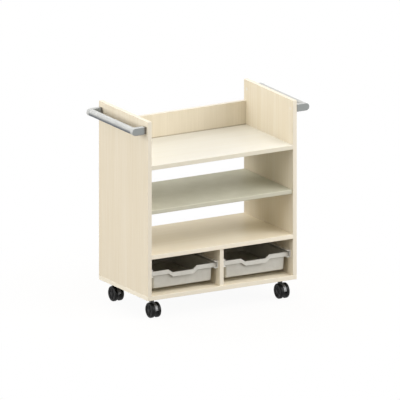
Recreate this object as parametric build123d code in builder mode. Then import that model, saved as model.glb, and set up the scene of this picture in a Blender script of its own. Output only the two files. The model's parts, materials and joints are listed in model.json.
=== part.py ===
from build123d import *
import os
from math import cos, radians, sin, sqrt

# Serving trolley in maple-faced board, in millimetres.
# The origin is on the floor under the middle, +Z is up and the open front faces -Y.
os.makedirs("parts", exist_ok=True)

# Boards
board = 18  # thickness of every maple board
depth = 400  # front to back
side_height = 736  # side panels, which stand on the base panel
side_rise = 87  # side panels above the back rail
rail_height = 100  # back rail above the top shelf
arris = 1  # eased edges of the maple boards
divider_setback = 5  # divider behind the boards' front edges

# Middle shelf, a loose grey board on pins
grey_board = 18
grey_arris = 3
grey_front_setback = 5
grey_back_setback = 7
grey_end_gap = 1  # play at each end of the loose shelf
pin_radius = 2.5
pin_depth = 10  # pin in the side panel
pin_inset = 60  # pin to the shelf's front or back edge
pins_per_end = 2
pin_lip = 8  # support lip that carries the shelf
pin_lip_width = 12
pin_lip_height = 5

# Dowels that join the boards
dowel_radius = 4
dowel_length = 30
dowel_face_depth = 12  # hole in the board that is met on its face
dowel_inset = 50  # outer dowels of a long seam to its ends
dowel_count = 3
dowel_short_inset = 30  # the same on a short seam
dowel_short_count = 2
dowel_gap = 0.1  # glue film round a dowel
dowel_end_gap = 0.5

# Trays: a standard school tray width sets the trolley's width
tray_width = 312  # over the rim
tray_height = 72.5
tray_side_gap = 5.5  # rim to the bay wall
tray_clear_below = 21.5
tray_clear_above = 60.5
tray_setback = 22  # rim front behind the boards' front edges
tray_back_gap = 5
tray_wall = 2.5
tray_draft = 3  # each wall leans in by this much towards the floor
tray_corner = 10
tray_foot_round = 4  # rounded edge under the tray
rim_side = 15  # rim overhang at the sides
rim_front = 8  # rim overhang at the front
rim_back = 10  # rim overhang at the back
rim_drop = 17.5  # depth of the skirt that hangs from the rim
rim_corner = 10
dip_top = 133  # hand dip in the front rim
dip_bottom = 95
dip_depth = 14
fascia_lean = 12  # degrees that the front skirt leans back
fascia_round = 1

# Tray runners, channels on the bay walls
runner_wall = 3
runner_flange = 16.5
runner_height = 30.5
runner_front_setback = 18
runner_back_gap = 2
slide_gap = 0.3  # tray skirt over the runner's lower flange
runner_screw_inset = 70
runner_screw_count = 2

# Handles
bar_diameter = 30
bar_wall = 2
bar_standoff = 51  # bar axis to the side panel
bar_drop = 37.5  # bar axis below the side panel's top
bracket_lip = 0.5  # bracket over the bar's surface
bracket_thickness = 20
bracket_inset = 12  # bracket to the side panel's front or back edge
bracket_round = 2
spigot_length = 18  # bracket peg inside the bar
spigot_gap = 0.1
spacer_thickness = 10  # dark spacer between bracket and panel
spacer_step = 1  # spacer inside the bracket's outline

# Casters
caster_height = 83
caster_side_inset = 48  # swivel axis to the base panel's end
caster_front_inset = 54
caster_back_inset = 43
caster_trail = 14  # axle ahead of the swivel axis
wheel_diameter = 64
wheel_width = 13.5
wheel_gap = 0.75  # wheel to hood
tread_round = 5  # tread's outer edge
tread_arris = 1  # tread's edge next to the hood
dish_radius = 23
dish_depth = 2.5
dish_slope = 2
hub_radius = 8
hood_width = 14.5
hood_inset = 1  # hood inside the wheels' radius
hood_rise = 3  # hood's front and back edges above the axle
hood_boss = 9  # hood's flat underside below the axle, and half its length
hood_round = 2.5
collar_radius = 10
collar_gap = 1  # collar above the wheels
swivel_gap = 0.4  # collar below the plate
axle_radius = 3
axle_seat = 9  # axle inside each wheel
axle_end_gap = 0.5
kingpin_radius = 5
kingpin_length = 24
running_gap = 0.05  # radial play of the axle and the kingpin
press_gap = 0.02
plate_size = 42
plate_thickness = 2.5
plate_corner = 5
plate_holes = 32  # screw spacing on the plate

# Fasteners
screw_gap = 0.1
handle_screw_radius = 3
handle_screw_grip = 18  # thread inside the bracket
handle_head_radius = 6
handle_head_height = 4
cap_radius = 7
cap_thickness = 2
cap_gap = 0.1
runner_screw_radius = 1.75
runner_screw_grip = 7.5
runner_head_radius = 3.5
runner_head_height = 1.8
caster_screw_radius = 2
caster_screw_grip = 12
caster_head_radius = 4
caster_head_height = 2.2

# Places worked out from the sizes above
front = -depth / 2
back = depth / 2
back_board = back - board  # front face of the back rail and of the tray bay's back
bay_width = tray_width + 2 * tray_side_gap
inner_width = 2 * bay_width + board
side_x = inner_width / 2  # inner face of the right side panel
width = inner_width + 2 * board
base_bottom = caster_height
base_top = base_bottom + board
tray_bottom = base_top + tray_clear_below
rim_top = tray_bottom + tray_height
lower_shelf_bottom = rim_top + tray_clear_above
lower_shelf_top = lower_shelf_bottom + board
side_top = base_top + side_height
rail_top = side_top - side_rise
top_shelf_bottom = rail_top - rail_height - board
shelf_gap = (top_shelf_bottom - lower_shelf_top - grey_board) / 2  # the same under and over the middle shelf
grey_bottom = lower_shelf_top + shelf_gap
bay_x = (bay_width + board) / 2  # middle of the right tray bay

sides = {"left": -1, "right": 1}
ends = {"front": -1, "rear": 1}


def write(piece, name):
    piece.part.label = name
    export_step(piece.part, f"parts/{name}.step")


def spread(low, high, inset, count):
    """Evenly spaced places between two ends, the outer ones inset from them."""
    step = (high - low - 2 * inset) / (count - 1)
    return [low + inset + step * index for index in range(count)]


def facing(points, direction):
    """Planes at the points whose normals point along direction; holes drill the other way."""
    return [Plane(origin=point, z_dir=direction) for point in points]


# Dowel seams: points where two boards meet
dowel_hole = dowel_radius + dowel_gap
dowel_face_hole = dowel_face_depth + dowel_end_gap
dowel_edge_hole = dowel_length - dowel_face_depth + dowel_end_gap
bay_rows = spread(front, back_board, dowel_inset, dowel_count)  # boards that stop at the back board


def end_seams(side):
    """Dowel points on a side panel's inner face, by the board that they hold."""
    x = side * side_x
    shelf_rows = spread(front, back, dowel_inset, dowel_count)
    rail_rows = spread(top_shelf_bottom, rail_top, dowel_short_inset, dowel_short_count)
    panel_rows = spread(base_top, lower_shelf_bottom, dowel_short_inset, dowel_short_count)
    return {
        "lower_shelf": [(x, y, lower_shelf_bottom + board / 2) for y in shelf_rows],
        "top_shelf": [(x, y, top_shelf_bottom + board / 2) for y in bay_rows],
        "back_rail": [(x, back_board + board / 2, z) for z in rail_rows],
        "tray_back_panel": [(x, back_board + board / 2, z) for z in panel_rows],
    }


def base_seams(x):
    """Dowel points on the base panel's top under a side panel or the divider."""
    return [(x, y, base_top) for y in bay_rows]


divider_top_seams = [(0, y, lower_shelf_bottom) for y in bay_rows]
foot_x = [-side_x - board / 2, 0, side_x + board / 2]

# Screw and pin places
bar_z = side_top - bar_drop
bracket_y = back - bracket_inset - bracket_thickness / 2
runner_bottom = rim_top - rim_drop - slide_gap - runner_wall
runner_mid_z = runner_bottom + runner_height / 2
runner_front = front + runner_front_setback
runner_back = back_board - runner_back_gap
runner_rows = spread(runner_front, runner_back, runner_screw_inset, runner_screw_count)
caster_x = width / 2 - caster_side_inset
caster_rows = {"front": front + caster_front_inset, "rear": back - caster_back_inset}
grey_front = front + grey_front_setback
grey_back = back - grey_back_setback
pin_rows = spread(grey_front, grey_back, pin_inset, pins_per_end)
pin_z = grey_bottom - pin_lip_height / 2


def runner_screw_points(wall_x):
    return [(wall_x, y, runner_mid_z) for y in runner_rows]


def handle_screw_points(side):
    return [(side * side_x, end * bracket_y, bar_z) for end in ends.values()]


def pin_points(side):
    return [(side * side_x, y, pin_z) for y in pin_rows]


def plate_screw_points(z):
    """Screw places under the base panel, at the corners of each caster plate."""
    half = plate_holes / 2
    points = []
    for x in (-caster_x, caster_x):
        for y in caster_rows.values():
            points += [(x + dx, y + dy, z) for dx in (-half, half) for dy in (-half, half)]
    return points


# Base panel
with BuildPart() as base_panel:
    with BuildSketch(Plane.XY.offset(base_bottom)):
        Rectangle(width, depth)
    extrude(amount=board)
    fillet(base_panel.edges(), arris)
    for x in foot_x:
        with Locations(*facing(base_seams(x), (0, 0, 1))):
            Hole(dowel_hole, dowel_face_hole)
    with Locations(*facing(plate_screw_points(base_bottom), (0, 0, -1))):
        Hole(caster_screw_radius + screw_gap, caster_screw_grip + screw_gap)
write(base_panel, "base_panel")

# Side panels
for name, side in sides.items():
    inward = (-side, 0, 0)
    with BuildPart() as side_panel:
        with BuildSketch(Plane.XY.offset(base_top)):
            with Locations((side * (side_x + board / 2), 0)):
                Rectangle(board, depth)
        extrude(amount=side_height)
        fillet(side_panel.edges(), arris)
        for seam in end_seams(side).values():
            with Locations(*facing(seam, inward)):
                Hole(dowel_hole, dowel_face_hole)
        with Locations(*facing(base_seams(side * (side_x + board / 2)), (0, 0, -1))):
            Hole(dowel_hole, dowel_edge_hole)
        with Locations(*facing(handle_screw_points(side), inward)):
            head_seat = handle_head_height + cap_thickness
            CounterBoreHole(handle_screw_radius + screw_gap, cap_radius + cap_gap, head_seat, board)
        with Locations(*facing(pin_points(side), inward)):
            Hole(pin_radius + screw_gap, pin_depth + dowel_end_gap)
        with Locations(*facing(runner_screw_points(side * side_x), inward)):
            Hole(runner_screw_radius + screw_gap, runner_screw_grip + screw_gap)
    write(side_panel, f"side_panel_{name}")

# Lower shelf
with BuildPart() as lower_shelf:
    with BuildSketch(Plane.XY.offset(lower_shelf_bottom)):
        Rectangle(inner_width, depth)
    extrude(amount=board)
    fillet(lower_shelf.edges().filter_by(Axis.X), arris)
    for side in sides.values():
        with Locations(*facing(end_seams(side)["lower_shelf"], (side, 0, 0))):
            Hole(dowel_hole, dowel_edge_hole)
    with Locations(*facing(divider_top_seams, (0, 0, -1))):
        Hole(dowel_hole, dowel_face_hole)
write(lower_shelf, "lower_shelf")

# Divider between the tray bays
divider_front = front + divider_setback
with BuildPart() as tray_divider:
    with BuildSketch(Plane.XY.offset(base_top)):
        with Locations((0, (divider_front + back_board) / 2)):
            Rectangle(board, back_board - divider_front)
    extrude(amount=lower_shelf_bottom - base_top)
    fillet(tray_divider.edges().filter_by(Axis.Z), arris)
    with Locations(*facing(base_seams(0), (0, 0, -1))):
        Hole(dowel_hole, dowel_edge_hole)
    with Locations(*facing(divider_top_seams, (0, 0, 1))):
        Hole(dowel_hole, dowel_edge_hole)
    for side in sides.values():
        with Locations(*facing(runner_screw_points(side * board / 2), (side, 0, 0))):
            Hole(runner_screw_radius + screw_gap, runner_screw_grip + screw_gap)
write(tray_divider, "tray_divider")

# Back of the tray bays
with BuildPart() as tray_back_panel:
    with BuildSketch(Plane.XY.offset(base_top)):
        with Locations((0, back_board + board / 2)):
            Rectangle(inner_width, board)
    extrude(amount=lower_shelf_bottom - base_top)
    fillet(tray_back_panel.edges().filter_by(Axis.X), arris)
    for side in sides.values():
        with Locations(*facing(end_seams(side)["tray_back_panel"], (side, 0, 0))):
            Hole(dowel_hole, dowel_edge_hole)
write(tray_back_panel, "tray_back_panel")

# Top shelf, which stops at the back rail
with BuildPart() as top_shelf:
    with BuildSketch(Plane.XY.offset(top_shelf_bottom)):
        with Locations((0, (front + back_board) / 2)):
            Rectangle(inner_width, back_board - front)
    extrude(amount=board)
    fillet(top_shelf.edges().filter_by(Axis.X), arris)
    for side in sides.values():
        with Locations(*facing(end_seams(side)["top_shelf"], (side, 0, 0))):
            Hole(dowel_hole, dowel_edge_hole)
write(top_shelf, "top_shelf")

# Back rail, which covers the top shelf's back edge
with BuildPart() as back_rail:
    with BuildSketch(Plane.XY.offset(top_shelf_bottom)):
        with Locations((0, back_board + board / 2)):
            Rectangle(inner_width, board)
    extrude(amount=rail_top - top_shelf_bottom)
    fillet(back_rail.edges().filter_by(Axis.X), arris)
    for side in sides.values():
        with Locations(*facing(end_seams(side)["back_rail"], (side, 0, 0))):
            Hole(dowel_hole, dowel_edge_hole)
write(back_rail, "back_rail")

# Middle shelf
with BuildPart() as middle_shelf:
    with BuildSketch(Plane.XY.offset(grey_bottom)):
        with Locations((0, (grey_front + grey_back) / 2)):
            Rectangle(inner_width - 2 * grey_end_gap, grey_back - grey_front)
    extrude(amount=grey_board)
    fillet(middle_shelf.edges().filter_by(Axis.X), grey_arris)
write(middle_shelf, "middle_shelf")

# Pins under the middle shelf
with BuildPart() as shelf_pins:
    for side in sides.values():
        for x, y, z in pin_points(side):
            with BuildSketch(Plane(origin=(x, y, z), z_dir=(side, 0, 0))):
                Circle(pin_radius)
            extrude(amount=pin_depth)
            with BuildSketch(Plane(origin=(x, y, z), x_dir=(0, 1, 0), z_dir=(-side, 0, 0))):
                Rectangle(pin_lip_width, pin_lip_height)
            extrude(amount=pin_lip)
write(shelf_pins, "shelf_pins")

# Dowels, each from the seam back into the first board and on into the second
with BuildPart() as carcass_dowels:
    dowel_planes = facing(divider_top_seams, (0, 0, -1))
    for x in foot_x:
        dowel_planes += facing(base_seams(x), (0, 0, 1))
    for side in sides.values():
        for seam in end_seams(side).values():
            dowel_planes += facing(seam, (-side, 0, 0))
    with Locations(*[plane.offset(-dowel_face_depth) for plane in dowel_planes]):
        Cylinder(dowel_radius, dowel_length, align=(Align.CENTER, Align.CENTER, Align.MIN))
write(carcass_dowels, "carcass_dowels")

# Trays
tray_front = front + tray_setback
tray_back = back_board - tray_back_gap
tray_length = tray_back - tray_front
tray_mid = (tray_front + tray_back) / 2
bowl_width = tray_width - 2 * rim_side
bowl_length = tray_length - rim_front - rim_back
bowl_front = tray_front + rim_front
bowl_mid = bowl_front + bowl_length / 2
fascia_lift = cos(radians(fascia_lean))
fascia_tilt = sin(radians(fascia_lean))
fascia_y = tray_front + (rim_drop + dip_depth) * fascia_tilt
dip_reach = rim_front + tray_wall + tray_draft  # hand dip through the skirt and the bowl's leaning front


def dip_path(drop, lift):
    """The rim's front edge seen from the front, lowered by drop; lift shortens its heights."""
    high = -drop * lift
    low = -(drop + dip_depth) * lift
    return [
        (-tray_width / 2, high),
        (-dip_top / 2, high),
        (-dip_bottom / 2, low),
        (dip_bottom / 2, low),
        (dip_top / 2, high),
        (tray_width / 2, high),
    ]


def dip_band(height, lift):
    """A strip of the given height under the rim's front edge."""
    return dip_path(0, lift) + dip_path(height, lift)[::-1]


def bowl(x, inset, floor):
    """Outlines at the rim and at the floor, inset from the bowl's outer walls."""
    outlines = []
    for z, lean in ((rim_top, 0), (floor, tray_draft)):
        across = bowl_width - 2 * (inset + lean)
        along = bowl_length - 2 * (inset + lean)
        with BuildSketch(Plane.XY.offset(z)) as outline:
            with Locations((x, bowl_mid)):
                RectangleRounded(across, along, tray_corner - inset)
        outlines.append(outline.sketch)
    return outlines


for name, side in sides.items():
    x = side * bay_x
    fascia = Plane(origin=(x, fascia_y, rim_top), x_dir=(1, 0, 0), z_dir=(0, -fascia_lift, fascia_tilt))
    upright = Plane(origin=(x, tray_front + dip_reach, rim_top), x_dir=(1, 0, 0), z_dir=(0, -1, 0))
    with BuildPart() as tray:
        # Bowl with leaning walls
        loft(bowl(x, 0, tray_bottom))
        fillet(tray.edges().group_by(Axis.Z)[0], tray_foot_round)
        # Rim with its skirt
        with BuildSketch(Plane.XY.offset(rim_top)) as rim:
            with Locations((x, tray_mid)):
                Rectangle(tray_width, tray_length)
            fillet(rim.vertices().group_by(Axis.Y)[-1], rim_corner)
        extrude(amount=-tray_wall)
        with BuildSketch(Plane.XY.offset(rim_top)) as skirt:
            with Locations((x, tray_mid)):
                Rectangle(tray_width, tray_length)
            fillet(skirt.vertices().group_by(Axis.Y)[-1], rim_corner)
            offset(amount=-tray_wall, mode=Mode.SUBTRACT)
        extrude(amount=-rim_drop)
        # Hand dip, edged by the same rim and skirt
        with BuildSketch(upright):
            with BuildLine():
                Polyline(*dip_path(0, fascia_lift)[1:5], close=True)
            make_face()
        extrude(amount=dip_reach, mode=Mode.SUBTRACT)
        with BuildSketch(upright):
            with BuildLine():
                Polyline(*dip_band(tray_wall, fascia_lift), close=True)
            make_face()
        extrude(amount=dip_reach)
        with BuildSketch(fascia):
            with BuildLine():
                Polyline(*dip_band(rim_drop, 1), close=True)
            make_face()
        extrude(amount=-tray_wall)
        # The front is trimmed to the leaning skirt
        with BuildSketch(fascia):
            Rectangle(2 * tray_width, 2 * tray_height)
        extrude(amount=tray_setback, mode=Mode.SUBTRACT)
        skirt_front = tray.faces().filter_by(fascia).sort_by(Axis.Y)[0]
        fillet(skirt_front.edges(), fascia_round)
        # Hollow
        loft(bowl(x, tray_wall, tray_bottom + tray_wall), mode=Mode.SUBTRACT)
    write(tray, f"tray_{name}")

# Tray runners, one on each wall of each bay
runner_mid_y = (runner_front + runner_back) / 2
runner_length = runner_back - runner_front
for bay, bay_side in sides.items():
    for hand, wall_side in sides.items():
        wall_x = bay_side * bay_x + wall_side * bay_width / 2
        foot = (wall_x, runner_mid_y, runner_bottom)
        with BuildPart() as tray_runner:
            with BuildSketch(Plane(origin=foot, x_dir=(-wall_side, 0, 0), z_dir=(0, wall_side, 0))):
                Rectangle(runner_flange, runner_height, align=(Align.MIN, Align.MIN))
                with Locations((runner_wall, runner_wall)):
                    slot_width = runner_flange - runner_wall
                    slot_height = runner_height - 2 * runner_wall
                    Rectangle(slot_width, slot_height, align=(Align.MIN, Align.MIN), mode=Mode.SUBTRACT)
            extrude(amount=runner_length / 2, both=True)
            with Locations(*facing(runner_screw_points(wall_x), (wall_side, 0, 0))):
                Hole(runner_screw_radius + screw_gap, runner_wall)
        write(tray_runner, f"tray_runner_{bay}_{hand}")

# Runner screws, heads inside the channels
with BuildPart() as runner_screws:
    for bay_side in sides.values():
        for wall_side in sides.values():
            wall_x = bay_side * bay_x + wall_side * bay_width / 2
            for point in runner_screw_points(wall_x):
                with BuildSketch(Plane(origin=point, z_dir=(-wall_side, 0, 0)).offset(runner_wall)):
                    Circle(runner_head_radius)
                extrude(amount=runner_head_height)
                with BuildSketch(Plane(origin=point, z_dir=(-wall_side, 0, 0)).offset(runner_wall)):
                    Circle(runner_screw_radius)
                extrude(amount=-runner_wall - runner_screw_grip)
write(runner_screws, "runner_screws")

# Handles
bracket_height = bar_diameter + 2 * bracket_lip
bar_x = width / 2 + bar_standoff
bracket_foot = width / 2 + spacer_thickness
bar_bore = bar_diameter / 2 - bar_wall
for name, side in sides.items():
    with BuildPart() as handle_bar:
        with BuildSketch(Plane(origin=(side * bar_x, 0, bar_z), z_dir=(0, 1, 0))):
            Circle(bar_diameter / 2)
            Circle(bar_bore, mode=Mode.SUBTRACT)
        extrude(amount=bracket_y - bracket_thickness / 2, both=True)
    write(handle_bar, f"handle_bar_{name}")
    for end_name, end in ends.items():
        middle = (side * bar_x, end * bracket_y, bar_z)
        with BuildPart() as handle_bracket:
            with BuildSketch(Plane(origin=middle, x_dir=(side, 0, 0), z_dir=(0, -side, 0))):
                Circle(bracket_height / 2)
                Rectangle(bar_x - bracket_foot, bracket_height, align=(Align.MAX, Align.CENTER))
            extrude(amount=bracket_thickness / 2, both=True)
            outer_face = handle_bracket.faces().sort_by(Axis.Y)[0 if end < 0 else -1]
            fillet(outer_face.edges().filter_by(Axis.Z, reverse=True), bracket_round)
            inner_face = Plane(origin=middle, z_dir=(0, -end, 0)).offset(bracket_thickness / 2)
            with BuildSketch(inner_face):
                Circle(bar_bore - spigot_gap)
            extrude(amount=spigot_length)
            foot = (side * bracket_foot, end * bracket_y, bar_z)
            with Locations(*facing([foot], (-side, 0, 0))):
                Hole(handle_screw_radius + screw_gap, handle_screw_grip + screw_gap)
        write(handle_bracket, f"handle_bracket_{name}_{end_name}")

# Spacers between the handle brackets and the side panels
with BuildPart() as handle_spacers:
    for side in sides.values():
        for end in ends.values():
            seat = (side * width / 2, end * bracket_y, bar_z)
            with BuildSketch(Plane(origin=seat, x_dir=(0, 1, 0), z_dir=(side, 0, 0))):
                Rectangle(bracket_thickness - 2 * spacer_step, bracket_height - 2 * spacer_step)
                Circle(handle_screw_radius + screw_gap, mode=Mode.SUBTRACT)
            extrude(amount=spacer_thickness)
write(handle_spacers, "handle_spacers")

# Handle screws from inside, each under a cover cap that is flush with the panel
screw_reach = board - cap_thickness - handle_head_height + spacer_thickness + handle_screw_grip
with BuildPart() as handle_screws:
    for side in sides.values():
        for head_seat in facing(handle_screw_points(side), (side, 0, 0)):
            with BuildSketch(head_seat.offset(cap_thickness)):
                Circle(handle_head_radius)
            extrude(amount=handle_head_height)
            with BuildSketch(head_seat.offset(cap_thickness + handle_head_height)):
                Circle(handle_screw_radius)
            extrude(amount=screw_reach)
write(handle_screws, "handle_screws")

with BuildPart() as handle_screw_caps:
    for side in sides.values():
        with Locations(*facing(handle_screw_points(side), (side, 0, 0))):
            Cylinder(cap_radius, cap_thickness, align=(Align.CENTER, Align.CENTER, Align.MIN))
write(handle_screw_caps, "handle_screw_caps")

# Casters
wheel_radius = wheel_diameter / 2
plate_bottom = base_bottom - plate_thickness
collar_top = plate_bottom - swivel_gap
collar_bottom = wheel_diameter + collar_gap
hood_radius = wheel_radius - hood_inset
hood_reach = sqrt(hood_radius**2 - hood_rise**2)  # fender's half length at its edges
kingpin_foot = plate_bottom - kingpin_length
for end_name, y in caster_rows.items():
    for side_name, side in sides.items():
        corner = f"caster_{end_name}_{side_name}"
        x = side * caster_x
        axle_y = y - caster_trail
        with BuildPart() as plate:
            with BuildSketch(Plane.XY.offset(plate_bottom)):
                with Locations((x, y)):
                    RectangleRounded(plate_size, plate_size, plate_corner)
                    Circle(kingpin_radius + press_gap, mode=Mode.SUBTRACT)
                    with GridLocations(plate_holes, plate_holes, 2, 2):
                        Circle(caster_screw_radius + screw_gap, mode=Mode.SUBTRACT)
            extrude(amount=plate_thickness)
        write(plate, f"{corner}_plate")
        with BuildPart() as hood:
            # A fender over the wheels' upper half, drawn in to the axle below and to the collar above
            under = (Align.CENTER, Align.MAX)
            with BuildSketch(Plane(origin=(x, axle_y, wheel_radius), x_dir=(0, 1, 0), z_dir=(1, 0, 0))):
                Circle(hood_radius)
                with Locations((caster_trail, collar_bottom - wheel_radius)):
                    Rectangle(hood_width, hood_round, align=under)
                make_hull()
                with Locations((0, hood_rise)):
                    Rectangle(wheel_diameter, wheel_diameter, align=under, mode=Mode.SUBTRACT)
                with BuildLine():
                    Polyline(
                        (-hood_reach, hood_rise),
                        (-hood_boss, -hood_boss),
                        (hood_boss, -hood_boss),
                        (hood_reach, hood_rise),
                        close=True,
                    )
                make_face()
            extrude(amount=hood_width / 2, both=True)
            fillet(hood.faces().filter_by(Axis.X).edges(), hood_round)
            with BuildSketch(Plane(origin=(x, y, collar_bottom))):
                Circle(collar_radius)
            extrude(amount=collar_top - collar_bottom)
            with Locations(*facing([(x, y, collar_top)], (0, 0, 1))):
                Hole(kingpin_radius + running_gap, kingpin_length)
            with Locations(*facing([(x + hood_width / 2, axle_y, wheel_radius)], (1, 0, 0))):
                Hole(axle_radius + press_gap, hood_width)
        write(hood, f"{corner}_hood")
        with BuildPart() as axle:
            with BuildSketch(Plane(origin=(x, axle_y, wheel_radius), z_dir=(1, 0, 0))):
                Circle(axle_radius)
            extrude(amount=hood_width / 2 + wheel_gap + axle_seat, both=True)
        write(axle, f"{corner}_axle")
        for hand, wheel_side in sides.items():
            inner_face = (x + wheel_side * (hood_width / 2 + wheel_gap), axle_y, wheel_radius)
            with BuildPart() as wheel:
                # Half section: tread outside, dished outer face, blind bore from the inner face
                section = Plane(origin=inner_face, x_dir=(wheel_side, 0, 0), z_dir=(0, -wheel_side, 0))
                with BuildSketch(section) as wheel_section:
                    with BuildLine():
                        Polyline(
                            (0, axle_radius + running_gap),
                            (0, wheel_radius),
                            (wheel_width, wheel_radius),
                            (wheel_width, dish_radius),
                            (wheel_width - dish_depth, dish_radius - dish_slope),
                            (wheel_width - dish_depth, hub_radius + dish_slope),
                            (wheel_width, hub_radius),
                            (wheel_width, 0),
                            (axle_seat + axle_end_gap, 0),
                            (axle_seat + axle_end_gap, axle_radius + running_gap),
                            close=True,
                        )
                    make_face()
                    fillet(wheel_section.vertices().group_by(Axis.Y)[-1].sort_by(Axis.X)[-1], tread_round)
                    fillet(wheel_section.vertices().group_by(Axis.Y)[-1].sort_by(Axis.X)[0], tread_arris)
                revolve(axis=Axis(inner_face, (1, 0, 0)))
            write(wheel, f"{corner}_wheel_{hand}")

# Kingpins, riveted into the caster plates
with BuildPart() as caster_kingpins:
    for x in (-caster_x, caster_x):
        for y in caster_rows.values():
            with BuildSketch(Plane(origin=(x, y, kingpin_foot))):
                Circle(kingpin_radius)
            extrude(amount=base_bottom - kingpin_foot)
write(caster_kingpins, "caster_kingpins")

# Caster screws, heads under the plates
with BuildPart() as caster_screws:
    for point in plate_screw_points(plate_bottom):
        with BuildSketch(Plane(origin=point)):
            Circle(caster_head_radius)
        extrude(amount=-caster_head_height)
        with BuildSketch(Plane(origin=point)):
            Circle(caster_screw_radius)
        extrude(amount=plate_thickness + caster_screw_grip)
write(caster_screws, "caster_screws")
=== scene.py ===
import json
from math import atan2, cos, pi, radians, sin

import bmesh
import bpy
from mathutils import Matrix, Vector


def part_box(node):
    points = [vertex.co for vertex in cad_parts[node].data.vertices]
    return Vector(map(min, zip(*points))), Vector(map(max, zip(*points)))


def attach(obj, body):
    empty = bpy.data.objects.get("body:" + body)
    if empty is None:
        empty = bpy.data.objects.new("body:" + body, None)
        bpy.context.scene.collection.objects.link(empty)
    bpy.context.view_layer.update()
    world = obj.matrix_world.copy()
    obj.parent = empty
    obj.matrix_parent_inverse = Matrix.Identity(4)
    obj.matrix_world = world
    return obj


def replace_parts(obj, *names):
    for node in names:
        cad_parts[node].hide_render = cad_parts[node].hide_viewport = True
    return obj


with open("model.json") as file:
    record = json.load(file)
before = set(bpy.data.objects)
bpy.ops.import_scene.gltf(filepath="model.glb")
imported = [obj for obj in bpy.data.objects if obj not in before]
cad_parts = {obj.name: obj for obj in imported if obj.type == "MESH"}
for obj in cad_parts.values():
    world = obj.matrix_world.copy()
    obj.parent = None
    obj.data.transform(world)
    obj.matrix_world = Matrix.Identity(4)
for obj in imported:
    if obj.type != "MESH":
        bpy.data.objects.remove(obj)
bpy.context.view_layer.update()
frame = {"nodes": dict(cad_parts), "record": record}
nodes = frame["nodes"]

MM = 0.001
SIDES = ("left", "right")
CORNERS = ("front_left", "front_right", "rear_left", "rear_right")

# Sockets of the Mix node by number, because their names repeat for each data type
SHARE, VALUE_A, VALUE_B, COLOUR_A, COLOUR_B, COLOUR_OUT = 0, 2, 3, 6, 7, 2

# Wheels, in millimetres
SPOKES = 6
SPOKE_SIZE = (2, 2.4, 12)  # thickness, width and length
SPOKE_DEPTH = 1.8  # from the wheel's face to the middle of a spoke
SPOKE_RADIUS = 15.5  # from the axle to the middle of a spoke
SPOKE_BEVEL = 0.5
HUB_CAP = ((0, -0.3), (5.6, -0.3), (5.6, 0.1), (5.2, 0.4), (3, 0.6), (0, 0.7))  # radius, rise over the face

# Screws, in millimetres: radius and height of the head, radius and length of the shank
RUNNER_SCREW = {"head": 3.5, "rise": 1.8, "shank": 1.75, "reach": 10.5}
RUNNER_SCREW_INSET = 70  # from the runner's ends
RUNNER_WALL = 3  # the heads rest on it
CASTER_SCREW = {"head": 4, "rise": 2.2, "shank": 2, "reach": 14.5}
CASTER_SCREW_INSET = 5  # from the plate's edges
SCREW_CORNERS = 24
SLOT_SLOPE = 0.268  # tangent of 15 degrees, so that the recess follows the head's corners
ARM_END = radians(16)  # takes in the corners 15 degrees to either side of an arm of the recess
SHARP_EDGE = radians(35)

# Studio, in metres
FLOOR_HALF = 12
LAMP_TARGET = Vector((0, 0, 0.4))
CAMERA_TARGET = Vector((0.0075, -0.0044, 0.417))
CAMERA_DISTANCE = 4
VIEW_WIDTH = 1.629


# Colours and nodes

def linear(hex_colour):
    """An sRGB hex colour as linear RGBA."""
    channels = [int(hex_colour[i:i + 2], 16) / 255 for i in (1, 3, 5)]
    return (*[c / 12.92 if c <= 0.04045 else ((c + 0.055) / 1.055) ** 2.4 for c in channels], 1)


def cells(size_mm):
    """The noise scale that gives cells of this size."""
    return 1 / (size_mm * MM)


def drawn_out(axis, squeeze):
    """The coordinate scale that draws a pattern out into lines along an axis."""
    return [squeeze if letter == axis else 1 for letter in "XYZ"]


def add(tree, kind, inputs, **settings):
    """Adds a node with its settings; each input is a value or another node's output."""
    node = tree.nodes.new("ShaderNode" + kind)
    for name, value in settings.items():
        setattr(node, name, value)
    for socket, value in inputs.items():
        if isinstance(value, bpy.types.NodeSocket):
            tree.links.new(value, node.inputs[socket])
        else:
            node.inputs[socket].default_value = value
    return node


def finish_of(name, **plain):
    """A new material with its tree and shader; plain values go straight on the shader's sockets."""
    material = bpy.data.materials.new(name)
    material.use_nodes = True
    tree = material.node_tree
    shader = tree.nodes["Principled BSDF"]
    for socket, value in plain.items():
        shader.inputs[socket.replace("_", " ")].default_value = value
    return material, tree, shader


# Materials

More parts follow.
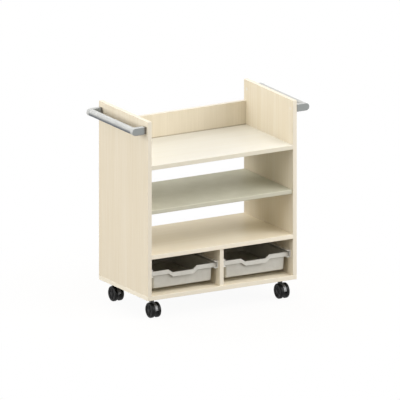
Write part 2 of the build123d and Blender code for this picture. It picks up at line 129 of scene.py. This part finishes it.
def maple_melamine(name, grain, face, light, dark, band, film, joint=None):
    """Maple print under a satin melamine film, with a matching band glued on the edges.

    The eye gets straight pale streaks along the grain, a quieter tone on the edges, and a lighter tone
    along every eased edge that is partly wear and partly a painted highlight. grain and face are the axes
    of the grain and of the thickness. light and dark are the print's tones and band is the edge band's;
    they differ from board to board as painted light and shade. film is the index of refraction, low because
    the satin film hardly mirrors.
    joint is the height at which another board meets the front, where a dark line of painted shade is drawn.
    """
    cross = ({"X", "Y", "Z"} - {grain, face}).pop()
    material, tree, shader = finish_of(name, IOR=film)
    coords = add(tree, "TexCoord", {}).outputs
    normal = add(tree, "SeparateXYZ", {0: coords["Normal"]}).outputs
    facing = {}
    for axis in "XYZ":
        facing[axis] = add(tree, "Math", {0: normal[axis]}, operation="ABSOLUTE").outputs[0]

    # Bands 42 mm wide and streaks 7 mm wide run along the grain, and along the edge on the end faces
    figure = {}
    for axis in (grain, cross):
        stretched = add(tree, "Mapping", {"Vector": coords["Object"],
                                          "Scale": drawn_out(axis, 0.03)}).outputs[0]
        bands = add(tree, "TexNoise", {"Vector": stretched, "Scale": cells(42), "Detail": 2, "Distortion": 0.1})
        streaks = add(tree, "TexNoise", {"Vector": stretched, "Scale": cells(7), "Detail": 3})
        both = add(tree, "Math", {0: bands.outputs[0], 1: streaks.outputs[0]}, operation="ADD")
        figure[axis] = both.outputs[0]
    on_end = add(tree, "Math", {0: facing[grain], 1: 0.5}, operation="GREATER_THAN").outputs[0]
    drawn = add(tree, "Mix", {SHARE: on_end, VALUE_A: figure[grain], VALUE_B: figure[cross]}).outputs[0]
    streaked = add(tree, "MapRange", {"Value": drawn, "From Min": 0.72, "From Max": 1.28}).outputs[0]
    wood = add(tree, "Mix", {SHARE: streaked, COLOUR_A: linear(light), COLOUR_B: linear(dark)},
               data_type="RGBA").outputs[COLOUR_OUT]
    on_band = add(tree, "MapRange", {"Value": facing[face], "From Min": 0.75, "From Max": 0.65,
                                     "To Max": 0.75}).outputs[0]
    wood = add(tree, "Mix", {SHARE: on_band, COLOUR_A: wood, COLOUR_B: linear(band)},
               data_type="RGBA").outputs[COLOUR_OUT]

    # Eased edges are the only faces that lean away from all three axes
    squarest = add(tree, "Math", {0: facing["X"], 1: facing["Y"]}, operation="MAXIMUM").outputs[0]
    squarest = add(tree, "Math", {0: squarest, 1: facing["Z"]}, operation="MAXIMUM").outputs[0]
    eased = add(tree, "MapRange", {"Value": squarest, "From Min": 0.99, "From Max": 0.9}).outputs[0]
    # A lighter tone in patches on the eased edges, partly wear and partly a painted highlight
    wear_and_highlight_noise = add(tree, "TexNoise", {"Vector": coords["Object"], "Scale": cells(35), "Detail": 4}).outputs[0]
    wear_and_highlight = add(tree, "MapRange", {"Value": wear_and_highlight_noise, "From Min": 0.35, "From Max": 0.65, "To Max": 0.8}).outputs[0]
    wear_and_highlight = add(tree, "Math", {0: wear_and_highlight, 1: eased}, operation="MULTIPLY").outputs[0]
    wood = add(tree, "Mix", {SHARE: wear_and_highlight, COLOUR_A: wood, COLOUR_B: linear("#f8f3e6")},
               data_type="RGBA").outputs[COLOUR_OUT]

    if joint:
        # A dark line of painted shade in the joint, which fades out 5 mm above it
        height = add(tree, "SeparateXYZ", {0: coords["Object"]}).outputs["Z"]
        joint_shade = add(tree, "MapRange", {"Value": height, "From Min": joint, "From Max": joint + 5 * MM,
                                      "To Min": 0.8, "To Max": 0}).outputs[0]
        front = add(tree, "Math", {0: normal["Y"], 1: -0.5}, operation="LESS_THAN").outputs[0]
        joint_shade = add(tree, "Math", {0: joint_shade, 1: front}, operation="MULTIPLY").outputs[0]
        wood = add(tree, "Mix", {SHARE: joint_shade, COLOUR_A: wood, COLOUR_B: linear("#8a7a62")},
                   data_type="RGBA").outputs[COLOUR_OUT]
    tree.links.new(wood, shader.inputs["Base Color"])

    gloss = add(tree, "MapRange", {"Value": drawn, "From Min": 0.7, "From Max": 1.3,
                                   "To Min": 0.23, "To Max": 0.27})
    tree.links.new(gloss.outputs[0], shader.inputs["Roughness"])
    # The pressed pores are 1 mm wide, drawn at 2 mm so that they show
    stretched = add(tree, "Mapping", {"Vector": coords["Object"],
                                      "Scale": drawn_out(grain, 0.06)}).outputs[0]
    pores = add(tree, "TexNoise", {"Vector": stretched, "Scale": cells(2), "Detail": 2})
    bump = add(tree, "Bump", {"Height": pores.outputs[0], "Strength": 0.15, "Distance": 0.1 * MM})
    tree.links.new(bump.outputs[0], shader.inputs["Normal"])
    return material


def grey_laminate():
    """Warm grey laminate pressed with a fine pearl texture: a softly clouded tone with little sheen, and
    a plain band on the edges."""
    material, tree, shader = finish_of("warm_grey_laminate", IOR=1.15)
    coords = add(tree, "TexCoord", {}).outputs
    # The pearl is under 1 mm across, drawn at 2.5 mm so that it shows
    pearl = add(tree, "TexNoise", {"Vector": coords["Object"], "Scale": cells(2.5), "Detail": 2}).outputs[0]
    cloud = add(tree, "TexNoise", {"Vector": coords["Object"], "Scale": cells(60), "Detail": 3}).outputs[0]
    tone = add(tree, "Math", {0: pearl, 1: cloud}, operation="ADD").outputs[0]
    tone = add(tree, "MapRange", {"Value": tone, "From Min": 0.7, "From Max": 1.3}).outputs[0]
    grey = add(tree, "Mix", {SHARE: tone, COLOUR_A: linear("#d4d3c1"), COLOUR_B: linear("#cbcab8")},
               data_type="RGBA").outputs[COLOUR_OUT]
    level = add(tree, "SeparateXYZ", {0: coords["Normal"]}).outputs["Z"]
    level = add(tree, "Math", {0: level}, operation="ABSOLUTE").outputs[0]
    on_band = add(tree, "MapRange", {"Value": level, "From Min": 0.75, "From Max": 0.65}).outputs[0]
    grey = add(tree, "Mix", {SHARE: on_band, COLOUR_A: grey, COLOUR_B: linear("#d1d0bf")},
               data_type="RGBA").outputs[COLOUR_OUT]
    tree.links.new(grey, shader.inputs["Base Color"])
    gloss = add(tree, "MapRange", {"Value": cloud, "From Min": 0.3, "From Max": 0.7,
                                   "To Min": 0.38, "To Max": 0.48})
    tree.links.new(gloss.outputs[0], shader.inputs["Roughness"])
    bump = add(tree, "Bump", {"Height": pearl, "Strength": 0.2, "Distance": 0.08 * MM})
    tree.links.new(bump.outputs[0], shader.inputs["Normal"])
    return material


def moulded_plastic(name, light, dark, rough, grit_mm, ior=1.5, polish=0):
    """Moulded or extruded plastic: faint flow clouds, a fine grit from the tool and a soft gloss.
    polish adds the broad shine of a polished tool."""
    material, tree, shader = finish_of(name, IOR=ior, Coat_Weight=polish, Coat_IOR=2.2, Coat_Roughness=0.5)
    place = add(tree, "TexCoord", {}).outputs["Object"]
    flow = add(tree, "TexNoise", {"Vector": place, "Scale": cells(38), "Detail": 3, "Distortion": 1}).outputs[0]
    grit = add(tree, "TexNoise", {"Vector": place, "Scale": cells(grit_mm), "Detail": 1}).outputs[0]
    tone = add(tree, "MapRange", {"Value": flow, "From Min": 0.3, "From Max": 0.7}).outputs[0]
    shade = add(tree, "Mix", {SHARE: tone, COLOUR_A: linear(light), COLOUR_B: linear(dark)},
                data_type="RGBA").outputs[COLOUR_OUT]
    tree.links.new(shade, shader.inputs["Base Color"])
    gloss = add(tree, "MapRange", {"Value": flow, "From Min": 0.3, "From Max": 0.7,
                                   "To Min": rough - 0.05, "To Max": rough + 0.05})
    tree.links.new(gloss.outputs[0], shader.inputs["Roughness"])
    bump = add(tree, "Bump", {"Height": grit, "Strength": 0.2, "Distance": 0.1 * MM})
    tree.links.new(bump.outputs[0], shader.inputs["Normal"])
    return material


def lined_metal(name, light, dark, along, rough, metallic, ior=1.5, painted_shade_colour=None, low=0, high=1, ends=False):
    """Bare metal where metallic is 1, and a thin silver coat on metal where it is 0.

    The eye gets a satin sheen over fine lines along one axis, from the die or the brush. When a shade
    colour is given, light and shade are painted into the coat: faces that point up, and with ends also the
    X faces, keep the coat's own tones as painted light, and the others get the shade colour as painted
    shade. A face takes the shade colour where it points that way by less than low, and its own tones from
    high up.
    """
    material, tree, shader = finish_of(name, Metallic=metallic, IOR=ior)
    coords = add(tree, "TexCoord", {}).outputs
    stretched = add(tree, "Mapping", {"Vector": coords["Object"],
                                      "Scale": drawn_out(along, 0.02)}).outputs[0]
    # The lines are 0.3 mm apart, drawn at 1 mm so that they show
    lines = add(tree, "TexNoise", {"Vector": stretched, "Scale": cells(1), "Detail": 2}).outputs[0]
    cloud = add(tree, "TexNoise", {"Vector": coords["Object"], "Scale": cells(30), "Detail": 3}).outputs[0]
    tone = add(tree, "Math", {0: lines, 1: cloud}, operation="ADD").outputs[0]
    tone = add(tree, "MapRange", {"Value": tone, "From Min": 0.7, "From Max": 1.3}).outputs[0]
    shade = add(tree, "Mix", {SHARE: tone, COLOUR_A: linear(light), COLOUR_B: linear(dark)},
                data_type="RGBA").outputs[COLOUR_OUT]
    # Painted light and shade: faces that point up keep the coat's own lighter tones, and the others fade to the
    # darker shade colour
    if painted_shade_colour:
        normal = add(tree, "SeparateXYZ", {0: coords["Normal"]}).outputs
        lit_facing = normal["Z"]
        if ends:
            end = add(tree, "Math", {0: normal["X"]}, operation="ABSOLUTE").outputs[0]
            lit_facing = add(tree, "Math", {0: lit_facing, 1: end}, operation="MAXIMUM").outputs[0]
        painted_light_share = add(tree, "MapRange", {"Value": lit_facing, "From Min": low, "From Max": high}).outputs[0]
        shade = add(tree, "Mix", {SHARE: painted_light_share, COLOUR_A: linear(painted_shade_colour), COLOUR_B: shade},
                    data_type="RGBA").outputs[COLOUR_OUT]
    tree.links.new(shade, shader.inputs["Base Color"])
    gloss = add(tree, "MapRange", {"Value": tone, "To Min": rough - 0.05, "To Max": rough + 0.06})
    tree.links.new(gloss.outputs[0], shader.inputs["Roughness"])
    bump = add(tree, "Bump", {"Height": lines, "Strength": 0.15, "Distance": 0.05 * MM})
    tree.links.new(bump.outputs[0], shader.inputs["Normal"])
    return material


def beech_dowel():
    """Turned beech: warm, with short dark flecks."""
    material, tree, shader = finish_of("turned_beech", IOR=1.5, Roughness=0.6)
    place = add(tree, "TexCoord", {}).outputs["Object"]
    fleck = add(tree, "TexNoise", {"Vector": place, "Scale": cells(2), "Detail": 3}).outputs[0]
    tone = add(tree, "MapRange", {"Value": fleck, "From Min": 0.35, "From Max": 0.65}).outputs[0]
    wood = add(tree, "Mix", {SHARE: tone, COLOUR_A: linear("#d9b98d"), COLOUR_B: linear("#bf9868")},
               data_type="RGBA").outputs[COLOUR_OUT]
    tree.links.new(wood, shader.inputs["Base Color"])
    return material


# The boards' tones are set apart as painted light and shade: whiter on the top shelf, lighter on the base and
# lower shelf, and darker on the rail and back
upright_maple = maple_melamine("maple_melamine_upright", "Z", "X", "#f1e9d7", "#ebe1cb", "#f6f1e4", 1.1)
back_maple = maple_melamine("maple_melamine_back", "Z", "Y", "#e7decb", "#dfd6c1", "#f4f0e8", 1.15)
rail_maple = maple_melamine("maple_melamine_rail", "Z", "Y", "#e7decb", "#dfd6c1", "#f4f0e8", 1.15,
                            joint=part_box("top_shelf")[1].z)
base_maple = maple_melamine("maple_melamine_base", "X", "Z", "#fbf2de", "#f7edd6", "#f9f4e6", 1.1)
shelf_maple = maple_melamine("maple_melamine_shelf", "X", "Z", "#faf1dc", "#f6ebd3", "#fdf8ea", 1.1)
top_maple = maple_melamine("maple_melamine_top", "X", "Z", "#f0efe7", "#edebe1", "#ebe6d4", 1.2)
tray_grey = moulded_plastic("moulded_polystyrene_grey", "#c9c9c3", "#c1c0b9", rough=0.4, grit_mm=1.5)
runner_grey = moulded_plastic("extruded_pvc_pale", "#f0efec", "#e6e5e1", rough=0.35, grit_mm=2, polish=1)
spacer_grey = moulded_plastic("moulded_nylon_dark", "#85827c", "#7a7771", rough=0.5, grit_mm=1.5)
hood_black = moulded_plastic("gloss_nylon_black", "#262626", "#1e1e1e", rough=0.4, grit_mm=2, ior=1.2, polish=1)
wheel_black = moulded_plastic("wheel_nylon_black", "#121212", "#0b0b0b", rough=0.4, grit_mm=1.5, ior=1.27)
# The tube gets painted shade below and painted light on top. The castings get painted light on top and on their
# X faces.
bar_metal = lined_metal("silver_powder_coat_tube", "#cdd0d0", "#c4c7c8", along="Y", rough=0.34, metallic=0,
                        ior=1.2, painted_shade_colour="#5e656e", low=-0.35, high=0.35)
bracket_metal = lined_metal("silver_powder_coat_casting", "#ced1d2", "#c6c9ca", along="X", rough=0.45,
                            metallic=0, ior=1.2, painted_shade_colour="#9fa5a7", low=0.3, high=0.9, ends=True)
zinc = lined_metal("bright_zinc_plate", "#cdd0d2", "#b8bcbf", along="X", rough=0.3, metallic=1)

looks = {
    "maple_cap": back_maple,
    "grey_board": grey_laminate(),
    "beech_dowel": beech_dowel(),
    "tray_plastic": tray_grey,
    "runner_plastic": runner_grey,
    "satin_aluminium": bar_metal,
    "silver_casting": bracket_metal,
    "dark_spacer": spacer_grey,
    "zinc_plated_steel": zinc,
    "caster_gloss_black": hood_black,
    "wheel_black": wheel_black,
}
boards = {
    "base_panel": base_maple,
    "lower_shelf": shelf_maple,
    "top_shelf": top_maple,
    "back_rail": rail_maple,
    "tray_back_panel": back_maple,
    "side_panel_left": upright_maple,
    "side_panel_right": upright_maple,
    "tray_divider": upright_maple,
}
for subpart in frame["record"]["subparts"]:
    node = subpart["node"]
    skin = boards.get(node) or looks[subpart["material_slot"]]
    nodes[node].data.materials.clear()
    nodes[node].data.materials.append(skin)


# Wheel spokes and screws

def piece_of(name, mesh, body, skin):
    """Makes a mesh into a piece that moves with a body, smooth except over its sharp edges."""
    bmesh.ops.remove_doubles(mesh, verts=mesh.verts, dist=0.01 * MM)
    bmesh.ops.recalc_face_normals(mesh, faces=mesh.faces)
    for face in mesh.faces:
        face.smooth = True
    for edge in mesh.edges:
        edge.smooth = edge.calc_face_angle(0) < SHARP_EDGE
    data = bpy.data.meshes.new(name)
    mesh.to_mesh(data)
    mesh.free()
    data.materials.append(skin)
    piece = bpy.data.objects.new(name, data)
    bpy.context.scene.collection.objects.link(piece)
    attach(piece, body)
    return piece


def wheel_spokes(wheel, out):
    """Spokes across the dish of a wheel and a domed cap on its hub; out is the way the wheel faces."""
    low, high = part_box(wheel)
    face = Vector((high.x if out > 0 else low.x, (low.y + high.y) / 2, (low.z + high.z) / 2))
    stretch = Matrix.Diagonal((*(length * MM for length in SPOKE_SIZE), 1))
    spoke = Matrix.Translation((-out * SPOKE_DEPTH * MM, 0, SPOKE_RADIUS * MM)) @ stretch
    mesh = bmesh.new()
    for turn in range(SPOKES):
        around = Matrix.Translation(face) @ Matrix.Rotation(2 * pi * turn / SPOKES, 4, "X")
        verts = bmesh.ops.create_cube(mesh, size=1, matrix=around @ spoke)["verts"]
        edges = list({edge for vert in verts for edge in vert.link_edges})
        bmesh.ops.bevel(mesh, geom=edges, offset=SPOKE_BEVEL * MM, affect="EDGES", segments=2, profile=0.5,
                        material=-1)
    cap = [mesh.verts.new(face + Vector((out * rise, 0, radius)) * MM) for radius, rise in HUB_CAP]
    line = [mesh.edges.new(pair) for pair in zip(cap, cap[1:])]
    bmesh.ops.spin(mesh, geom=cap + line, cent=face, axis=(1, 0, 0), angle=2 * pi, steps=32, use_merge=True)
    piece_of(f"{wheel}_spokes", mesh, wheel, wheel_black)


def extruded(mesh, face, scale, lift):
    """Extrudes a level face by a lift in millimetres, scales the new face about the Z axis and returns it."""
    made = bmesh.ops.extrude_face_region(mesh, geom=[face])["geom"]
    top = next(item for item in made if isinstance(item, bmesh.types.BMFace))
    bmesh.ops.scale(mesh, verts=top.verts, vec=(scale, scale, 1))
    bmesh.ops.translate(mesh, verts=top.verts, vec=(0, 0, lift * MM))
    return top


def cross_screw(mesh, seat, out, head, rise, shank, reach):
    """A pan-head screw with a cross recess. Its head rests on seat and faces out."""
    first = len(mesh.verts)
    disc = bmesh.ops.create_circle(mesh, cap_ends=True, segments=SCREW_CORNERS, radius=shank * MM)["verts"]
    bmesh.ops.translate(mesh, verts=disc, vec=(0, 0, -reach * MM))
    top = disc[0].link_faces[0]
    # Shank, underside of the head, rim, two steps of the crown and the edge of the recess
    for scale, lift in ((1, reach), (head / shank, 0), (1, 0.4 * rise), (0.9, 0.35 * rise), (0.7, 0.25 * rise),
                        (1, 0)):
        top = extruded(mesh, top, scale, lift)
    # Each corner of that edge moves in or out to the end or the flank of the nearest arm of the cross
    arm = 0.55 * head
    half = arm * SLOT_SLOPE
    for vert in top.verts:
        turn = atan2(vert.co.y, vert.co.x)
        off_arm = abs((turn + pi / 4) % (pi / 2) - pi / 4)
        size = arm / cos(off_arm) if off_arm < ARM_END else half / sin(off_arm)
        vert.co.x, vert.co.y = size * MM * cos(turn), size * MM * sin(turn)
    extruded(mesh, top, 0.7, -0.7 * rise)
    mesh.verts.ensure_lookup_table()
    turned = Matrix.Translation(seat) @ Vector(out).to_track_quat("Z", "Y").to_matrix().to_4x4()
    bmesh.ops.transform(mesh, matrix=turned, verts=mesh.verts[first:])


for corner in CORNERS:
    for hand, out in (("left", -1), ("right", 1)):
        wheel_spokes(f"caster_{corner}_wheel_{hand}", out)

mesh = bmesh.new()
for bay in SIDES:
    for hand, out in (("left", 1), ("right", -1)):
        low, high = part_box(f"tray_runner_{bay}_{hand}")
        seat_x = (low.x if out > 0 else high.x) + out * RUNNER_WALL * MM
        for y in (low.y + RUNNER_SCREW_INSET * MM, high.y - RUNNER_SCREW_INSET * MM):
            cross_screw(mesh, (seat_x, y, (low.z + high.z) / 2), (out, 0, 0), **RUNNER_SCREW)
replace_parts(piece_of("runner_cross_screws", mesh, "carcass", zinc), "runner_screws")

mesh = bmesh.new()
for corner in CORNERS:
    low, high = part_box(f"caster_{corner}_plate")
    for x in (low.x + CASTER_SCREW_INSET * MM, high.x - CASTER_SCREW_INSET * MM):
        for y in (low.y + CASTER_SCREW_INSET * MM, high.y - CASTER_SCREW_INSET * MM):
            cross_screw(mesh, (x, y, low.z), (0, 0, -1), **CASTER_SCREW)
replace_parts(piece_of("caster_cross_screws", mesh, "carcass", zinc), "caster_screws")


# Floor, light and camera

def seen_by_eye(tree):
    """1 for rays from the camera, a reflection or a clear piece, and 0 for those that light the object."""
    rays = add(tree, "LightPath", {}).outputs
    seen = rays["Is Camera Ray"]
    for kind in ("Is Glossy Ray", "Is Transmission Ray"):
        seen = add(tree, "Math", {0: seen, 1: rays[kind]}, operation="MAXIMUM").outputs[0]
    return seen


mesh = bmesh.new()
bmesh.ops.create_grid(mesh, x_segments=1, y_segments=1, size=FLOOR_HALF)
floor_mesh = bpy.data.meshes.new("studio_floor")
mesh.to_mesh(floor_mesh)
mesh.free()
floor = bpy.data.objects.new("studio_floor", floor_mesh)
bpy.context.scene.collection.objects.link(floor)

# White to the eye and in reflections. Only near the trolley is a part of the shading left, for a faint shadow
material, tree, shader = finish_of("white_studio_paper", Roughness=0.9)
seen = seen_by_eye(tree)
tint = add(tree, "Mix", {SHARE: seen, COLOUR_A: linear("#7d776e"), COLOUR_B: linear("#f2ece0")},
           data_type="RGBA").outputs[COLOUR_OUT]
tree.links.new(tint, shader.inputs["Base Color"])
place = add(tree, "TexCoord", {}).outputs["Object"]
reach = add(tree, "VectorMath", {0: place}, operation="LENGTH").outputs["Value"]
share = add(tree, "MapRange", {"Value": reach, "From Min": 0.5, "From Max": 1.1, "To Min": 0.94, "To Max": 1})
share = add(tree, "Math", {0: seen, 1: share.outputs[0]}, operation="MULTIPLY")
white = add(tree, "Emission", {"Color": linear("#ffffff"), "Strength": 1})
paper = add(tree, "MixShader", {0: share.outputs[0], 1: shader.outputs[0], 2: white.outputs[0]})
tree.links.new(paper.outputs[0], tree.nodes["Material Output"].inputs["Surface"])
floor_mesh.materials.append(material)

# A plain warm light all round, which is white to the eye
world = bpy.data.worlds.new("studio")
bpy.context.scene.world = world
world.use_nodes = True
tree = world.node_tree
seen = seen_by_eye(tree)
strength = add(tree, "MapRange", {"Value": seen, "To Min": 0.34, "To Max": 1})
tint = add(tree, "Mix", {SHARE: seen, COLOUR_A: linear("#fff3e2"), COLOUR_B: linear("#ffffff")},
           data_type="RGBA").outputs[COLOUR_OUT]
background = tree.nodes["Background"]
tree.links.new(tint, background.inputs["Color"])
tree.links.new(strength.outputs[0], background.inputs["Strength"])


def softbox(name, place, size, power):
    """A square studio lamp that faces the middle of the trolley, in metres and watts."""
    lamp = bpy.data.lights.new(name, "AREA")
    lamp.size = size
    lamp.energy = power
    holder = bpy.data.objects.new(name, lamp)
    holder.location = place
    holder.rotation_euler = (LAMP_TARGET - Vector(place)).to_track_quat("-Z", "Y").to_euler()
    bpy.context.scene.collection.objects.link(holder)


softbox("softbox_front_top", (0, -3.5, 6.46), 4, 100)
softbox("softbox_front_right", (3.9, -4.64, 3.9), 4, 177)
softbox("softbox_front_low", (4.4, -5.25, 1.86), 4, 105)
softbox("softbox_left", (-6.76, 0, 2.21), 4, 279)
softbox("softbox_left_top", (-4.87, -0.86, 5.35), 4, 20)
softbox("softbox_right", (6.35, -1.7, 2.8), 4, 90)
softbox("softbox_back_top", (0, 3.5, 6.46), 4, 102)
softbox("softbox_back", (0, 5.36, 4.9), 4, 80)
softbox("softbox_back_low", (0, 6.9, 1.6), 2.4, 70)

# The photo is a parallel view from 30 degrees to the left and 15 degrees up
azimuth, elevation = radians(-30), radians(15)
back = Vector((sin(azimuth) * cos(elevation), -cos(azimuth) * cos(elevation), sin(elevation)))
lens = bpy.data.cameras.new("camera")
lens.type = "ORTHO"
lens.ortho_scale = VIEW_WIDTH
camera = bpy.data.objects.new("camera", lens)
camera.location = CAMERA_TARGET + back * CAMERA_DISTANCE
camera.rotation_euler = (-back).to_track_quat("-Z", "Y").to_euler()
bpy.context.scene.collection.objects.link(camera)
bpy.context.scene.camera = camera
bpy.context.scene.view_settings.view_transform = "Standard"
